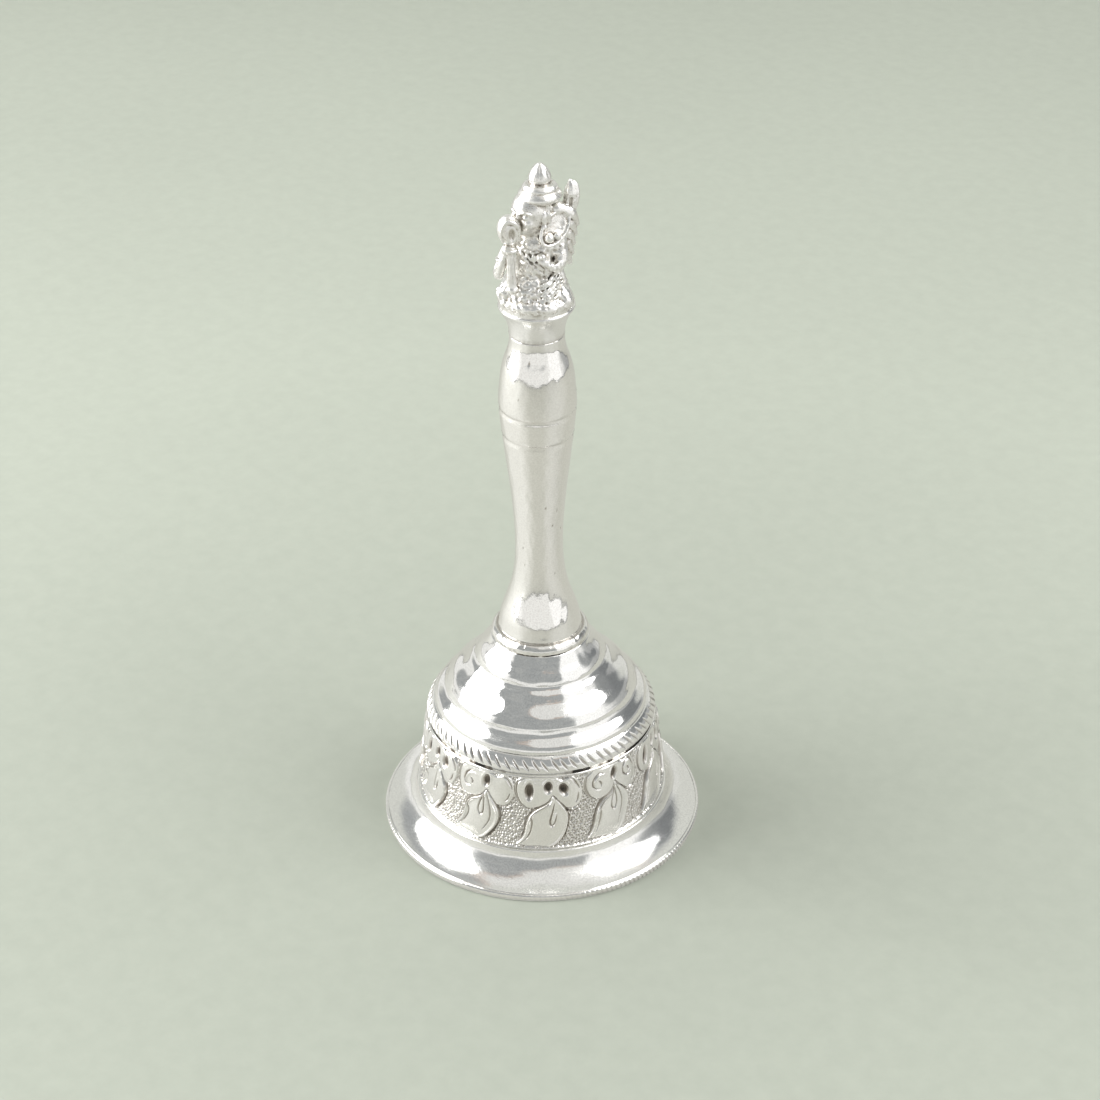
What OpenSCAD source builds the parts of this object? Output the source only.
// Devotional hand bell with a turned handle and a cast figure finial.
// The origin is at the centre of the foot, on the surface that the bell stands on.
// +Z runs up the handle, and the figure faces -Y. Millimetres and degrees.

/* [Bell cup] */
// Outside diameter of the foot
foot_d = 55; // [54:0.5:56]
// Thickness of the milled edge of the foot
rim_t = 1.1; // [0.8:0.1:1.4]
// Diameter of the chased band at its bottom edge
band_bottom_d = 42.8; // [42.4:0.1:43.2]
// Diameter of the chased band at its top edge
band_top_d = 39.4; // [39:0.1:39.8]
// Wall thickness of the cup at the band
wall = 1.7; // [1.5:0.1:1.8]
// Number of leaf motifs around the band
motif_count = 11; // [9:1:12]
// Number of slanted notches in the rope border
rope_notches = 75; // [60:1:80]

/* [Handle] */
// Diameter of the handle where it stands on the seat ring
handle_base_d = 14.2; // [13.8:0.1:14.4]
// Diameter of the handle at its narrow waist
handle_waist_d = 7.9; // [7.4:0.1:8.6]
// Diameter of the handle at its full bulb
handle_bulb_d = 12.6; // [12:0.1:13]
// Depth of the two lines turned into the handle
line_depth = 0.25; // [0.1:0.05:0.4]

/* [Finial] */
// Diameter of the rim of the pedestal cup
pedestal_d = 12.2; // [11.8:0.1:12.6]
// Height of the tip of the figure's crown above the foot
total_h = 122; // [121.5:0.1:122.5]

/* [Clapper] */
// Diameter of the striker ball
ball_d = 11; // [10:0.2:11]
// Height of the centre of the striker ball
ball_z = 9; // [8.8:0.1:9.4]
// Diameter of the clapper's wire
rod_d = 1.6; // [1.2:0.1:1.8]

/* [Fastening] */
// Diameter of the stud that ties the cup to the handle
stud_d = 3; // [2.5:0.1:3.2]
// Nut width across flats
nut_af = 5.5; // [5.2:0.1:5.8]
// Radial clearance of the stud in the crown and washer
stud_clearance = 0.1; // [0.05:0.05:0.2]

/* [Hidden] */
$fn = 96;

// Heights of the cup's features
rim_line_z = 1.3;
cove_z = 5.55;
band_z0 = 6;
band_z1 = 20.3;
groove_z1 = 20.8;
rope_z0 = 21.1;
rope_z1 = 23.4;
tier_1_z = 27.2;
tier_2_z = 31.9;
tier_3_z = 36.5;
crown_z = 34.4;

// Radii of the cup's features
foot_r = foot_d / 2;
band_r0 = band_bottom_d / 2;
band_r1 = band_top_d / 2;
rope_r0 = band_r1 - 0.1;
rope_r1 = 18.35;
tier_1_r = 15.5;
tier_2_r = 10.8;
tier_3_r = 8.3;

// Heights up the handle and the finial
handle_z0 = 38.2;
handle_z1 = 93;
pedestal_z1 = 98.2;
figure_z0 = 97.7;

// The stud, its eye and the link ring below it
stud_r = stud_d / 2;
stud_top_z = 60;
eye_z = 29.5;
eye_r = 1.9;
eye_wire_r = 0.6;
link_r = 2;
link_wire_r = 0.5;
link_gap = 0.12;
washer_t = 0.5;
nut_t = 2;
nut_z = crown_z - washer_t - nut_t;

// The two hinge points of the clapper: the eye's lower wire and the ring's lower wire
link_pivot_z = eye_z - eye_r;
link_z = link_pivot_z + eye_wire_r + link_wire_r + link_gap - link_r;
clapper_pivot_z = link_z - link_r;

// The clapper
clapper_eye_r = 1.6;
clapper_wire_r = 0.5;
clapper_eye_z = clapper_pivot_z + link_wire_r + clapper_wire_r + link_gap - clapper_eye_r;
rod_r = rod_d / 2;
ball_r = ball_d / 2;
ball_flat_z = ball_z - ball_r + 0.2;
rivet_t = 0.5;
peen_t = 0.15;
collar_r = 1.3;

// The finial's dowel
pin_r = 1.2;
pin_z0 = 88;
pin_z1 = 97;

// Points along an arc from p to q that stands h proud of the chord, to its left when h > 0
function arc(p, q, h, n = 6) =
    let (d = q - p, len = norm(d), side = [-d[1], d[0]] / len)
    [for (i = [0:n]) let (t = i / n) p + t * d + 4 * h * t * (1 - t) * side];

// Slope of a curve at station i, from the stations on either side of it
function slope(s, i) =
    i == 0 || i == len(s) - 1 ? 0 : (s[i + 1][0] - s[i - 1][0]) / (s[i + 1][1] - s[i - 1][1]);

// Smooth curve through stations [radius, height], as cubic spans of n steps each
function through(s, n = 4) = [
    for (i = [0:len(s) - 2]) for (k = [0:n - 1])
        let (t = k / n, dz = s[i + 1][1] - s[i][1],
             a = 2 * t * t * t - 3 * t * t + 1, b = t * t * t - 2 * t * t + t,
             c = -2 * t * t * t + 3 * t * t, d = t * t * t - t * t)
        [a * s[i][0] + c * s[i + 1][0] + dz * (b * slope(s, i) + d * slope(s, i + 1)),
         s[i][1] + t * dz],
    s[len(s) - 1]];

// A ring of round wire, standing upright, with its axis along X
module upright_ring(r, wire_r, z) {
    translate([0, 0, z]) rotate([0, 90, 0]) rotate_extrude() translate([r, 0]) circle(wire_r, $fn = 32);
}

// A round bar between two points
module bar(p, q, r1, r2) {
    d = q - p;
    translate(p) rotate([0, acos(d[2] / norm(d)), atan2(d[1], d[0])])
        cylinder(h = norm(d), r1 = r1, r2 = r2, $fn = 32);
}

// Outside of the cup, from the edge of the foot up to the crown
function cup_outside() = concat(
    [[foot_r - 0.3, 0], [foot_r, 0.3], [foot_r, rim_t]],
    arc([foot_r - 0.4, rim_line_z], [band_r0 + 0.3, cove_z], 0.95),
    [[band_r0, band_z0], [band_r1, band_z1], [band_r1 - 0.5, band_z1 + 0.1],
     [band_r1 - 0.5, groove_z1], [rope_r0, rope_z0]],
    arc([rope_r0 - 0.1, rope_z0 + 0.2], [rope_r1, rope_z1], -0.3),
    arc([rope_r1 - 0.2, rope_z1 + 0.1], [tier_1_r, tier_1_z], -0.1),
    arc([tier_1_r - 0.5, tier_1_z + 0.6], [tier_2_r, tier_2_z], -0.4),
    arc([tier_2_r - 0.7, tier_2_z + 1.7], [tier_3_r, tier_3_z], -0.3));

// Inside of the cup, from the crown down to the mouth
function cup_inside() = concat(
    [[0, crown_z], [7.2, crown_z]],
    arc([7.5, crown_z - 0.4], [band_r1 - wall, band_z1], 0.5),
    [[band_r0 - wall, band_z0]],
    arc([band_r0 - wall + 0.1, band_z0 - 0.3], [foot_r - 2.1, 0], -0.5));

// One raised leaf with a three-lobed flower above it, as a flat outline
module motif_outline() {
    for (x = [-2.7, 0, 2.7]) translate([x, 11.4 - abs(x) * 0.25]) difference() {
        circle(1.5, $fn = 24);
        circle(0.75, $fn = 24);
    }
    translate([0, 3]) polygon(concat(
        arc([-1.2, -2.6], [2.4, 5.6], 1.6), arc([2.4, 5.6], [-1.2, -2.6], 1.2)));
    translate([-1.5, 3.6]) polygon(concat(
        arc([-1.2, -1.6], [0.6, 4.6], 0.9), arc([0.6, 4.6], [-1.2, -1.6], 0.9)));
}

// The raised motifs, cut to a skin that stands just proud of the band
module motifs(proud = 0.35) {
    intersection() {
        rotate_extrude() polygon([[band_r0 - 0.4, band_z0 + 0.2], [band_r0 + proud, band_z0 + 0.2],
                                  [band_r1 + proud, band_z1 - 0.3], [band_r1 - 0.4, band_z1 - 0.3]]);
        for (i = [0:motif_count - 1]) rotate([0, 0, i * 360 / motif_count])
            translate([0, 0, band_z0]) rotate([90, 0, 0])
                translate([0, 0, band_r1 - 2]) linear_extrude(6) motif_outline();
    }
}

module bell_cup() {
    color("gainsboro") difference() {
        union() {
            rotate_extrude() polygon(concat(cup_outside(), [[0, tier_3_z]], cup_inside()));
            motifs();
        }
        translate([0, 0, crown_z - 1]) cylinder(h = 4, r = stud_r + stud_clearance);
        for (i = [0:rope_notches - 1]) rotate([0, 0, i * 360 / rope_notches])
            translate([0, -rope_r1 - 1.15, rope_z0 + 1]) rotate([-30, 35, 0])
                cylinder(h = 3, r = 0.28, center = true, $fn = 8);
    }
}

module seat_ring() {
    color("silver") rotate_extrude() polygon(concat(
        [[stud_r + stud_clearance, tier_3_z]],
        arc([tier_3_r, tier_3_z], [tier_3_r - 0.4, handle_z0], -0.3),
        [[stud_r + stud_clearance, handle_z0]]));
}

// Stations of the handle: radius and height
function handle_stations() = [
    [handle_base_d / 2, handle_z0 + 0.4], [6.3, 42.4], [5, 46.5], [4.1, 50.4],
    [handle_waist_d / 2, 54], [4.25, 60], [5.05, 68], [5.9, 75], [handle_bulb_d / 2, 81],
    [5.9, 86.2], [4.75, 89.8], [4.4, 92]];

module handle() {
    color("whitesmoke") difference() {
        rotate_extrude() polygon(concat(
            [[0, handle_z0], [handle_base_d / 2, handle_z0]], through(handle_stations()),
            [[4.4, handle_z1], [0, handle_z1]]));
        for (line = [[5.9, 75], [6.25, 79.85]]) translate([0, 0, line[1]])
            rotate_extrude() translate([line[0], 0]) circle(line_depth, $fn = 24);
        translate([0, 0, handle_z0 - 1]) cylinder(h = stud_top_z - handle_z0 + 1, r = stud_r);
        translate([0, 0, pin_z0]) cylinder(h = 10, r = pin_r);
    }
}

module finial_cup() {
    color("silver") difference() {
        rotate_extrude() polygon(concat(
            [[0, handle_z1]], arc([4.4, handle_z1], [pedestal_d / 2, pedestal_z1 - 0.4], 0.35),
            [[pedestal_d / 2 - 0.1, pedestal_z1], [pedestal_d / 2 - 0.6, pedestal_z1],
             [pedestal_d / 2 - 0.6, figure_z0], [0, figure_z0]]));
        translate([0, 0, handle_z1 - 1]) cylinder(h = pin_z1 - handle_z1 + 1, r = pin_r);
    }
}

module finial_pin() {
    color("darkgray") translate([0, 0, pin_z0]) cylinder(h = pin_z1 - pin_z0, r = pin_r);
}

// Crown: brim, step and a pointed bulb that ends at total_h
module figure_crown() {
    rotate_extrude() polygon(concat(
        [[0, 115.5], [3, 115.5]], arc([3, 116.4], [3, 117.8], -0.45),
        arc([2.6, 117.8], [2.3, 119], -0.3), arc([1.7, 119], [0.35, total_h - 0.4], -0.5),
        [[0, total_h]]));
}

// Rimmed oval shell at the side of the head, with the long wing behind it
module figure_wing() {
    translate([3.7, 0.3, 112]) rotate([0, 78, 12]) rotate([0, 0, 25]) {
        scale([1.45, 1, 1]) cylinder(h = 0.9, r = 2.1, center = true, $fn = 32);
        scale([1.45, 1, 1]) translate([0, 0, 0.4]) rotate_extrude($fn = 32)
            translate([2, 0]) circle(0.4, $fn = 12);
    }
    hull() {
        translate([2.2, 2.4, 106]) sphere(1, $fn = 16);
        translate([3.6, 2.6, 111]) sphere(1.5, $fn = 16);
        translate([4.2, 3, 117.2]) sphere(0.5, $fn = 16);
    }
}

module finial_figure() {
    color("silver") {
        // Base disc and the draped lap of the seated body
        rotate_extrude() polygon(concat(
            [[0, figure_z0], [pedestal_d / 2 - 0.6, figure_z0], [pedestal_d / 2 - 0.6, 98.8]],
            through([[5.3, 98.8], [5, 101], [4, 103.8], [3.2, 106.5]]), [[0, 106.5]]));
        // Chest, head and crown
        hull() {
            translate([0, 0, 105]) sphere(3.4, $fn = 24);
            translate([0, -0.4, 109.5]) sphere(3.3, $fn = 24);
        }
        translate([0, -0.9, 113.7]) sphere(3.1, $fn = 48);
        translate([0, 0.2, 0]) figure_crown();
        // Folded legs
        for (side = [-1, 1])
            bar([side * 3.6, -2.6, 100], [side * 0.6, -3.6, 99.6], 1.7, 1.4);
        // Wings
        figure_wing();
        mirror([1, 0, 0]) figure_wing();
        // Mace in the right hand: grooved head, collar and shaft
        bar([-4.6, -3.5, 102.4], [-3, -4, 108.6], 1, 0.8);
        translate([-2.9, -4, 108.9]) sphere(1.1, $fn = 24);
        translate([-2.4, -4.1, 111.4]) sphere(1.9, $fn = 32);
        // Arms
        bar([-3.2, -0.6, 109], [-3.4, -3.4, 106.4], 1.1, 0.9);
        bar([3.2, -0.6, 109], [2.4, -3.6, 105.6], 1.1, 0.9);
    }
}

module hanger_stud() {
    color("darkgray") difference() {
        union() {
            translate([0, 0, eye_z + eye_r]) cylinder(h = stud_top_z - eye_z - eye_r, r = stud_r);
            upright_ring(eye_r, eye_wire_r, eye_z);
        }
        // Room for the eye's opening under the end of the shank
        translate([0, 0, eye_z]) rotate([0, 90, 0])
            cylinder(h = 2 * stud_d, r = eye_r - eye_wire_r, center = true);
    }
}

module crown_washer() {
    color("goldenrod") translate([0, 0, crown_z - washer_t]) difference() {
        cylinder(h = washer_t, r = 4.2);
        translate([0, 0, -1]) cylinder(h = washer_t + 2, r = stud_r + stud_clearance);
    }
}

module lock_nut() {
    color("darkgray") translate([0, 0, nut_z]) difference() {
        cylinder(h = nut_t, r = nut_af / 2 / cos(30), $fn = 6);
        translate([0, 0, -1]) cylinder(h = nut_t + 2, r = stud_r);
    }
}

module link_ring() {
    color("slategray") rotate([0, 0, 90]) upright_ring(link_r, link_wire_r, link_z);
}

module clapper_rod() {
    color("lightslategray") {
        upright_ring(clapper_eye_r, clapper_wire_r, clapper_eye_z);
        translate([0, 0, ball_flat_z - rivet_t])
            cylinder(h = clapper_eye_z - clapper_eye_r - ball_flat_z + rivet_t, r = rod_r);
        translate([0, 0, ball_flat_z - rivet_t - peen_t]) cylinder(h = peen_t, r = rod_r + 0.15);
        translate([0, 0, ball_z + ball_r - 0.2]) cylinder(h = 0.8, r1 = collar_r, r2 = rod_r + 0.1);
    }
}

module clapper_ball() {
    color("gainsboro") translate([0, 0, ball_z]) difference() {
        rotate_extrude() intersection() {
            circle(ball_r);
            translate([0, 0.2 - ball_r]) square([ball_r, ball_d - 0.4]);
        }
        cylinder(h = ball_d + 2, r = rod_r, center = true);
    }
}

module clapper_rivet() {
    color("goldenrod") translate([0, 0, ball_flat_z - rivet_t]) difference() {
        cylinder(h = rivet_t, r = collar_r);
        translate([0, 0, -1]) cylinder(h = rivet_t + 2, r = rod_r);
    }
}

bell_cup();
seat_ring();
handle();
finial_cup();
finial_figure();
finial_pin();
hanger_stud();
crown_washer();
lock_nut();
link_ring();
clapper_rod();
clapper_ball();
clapper_rivet();
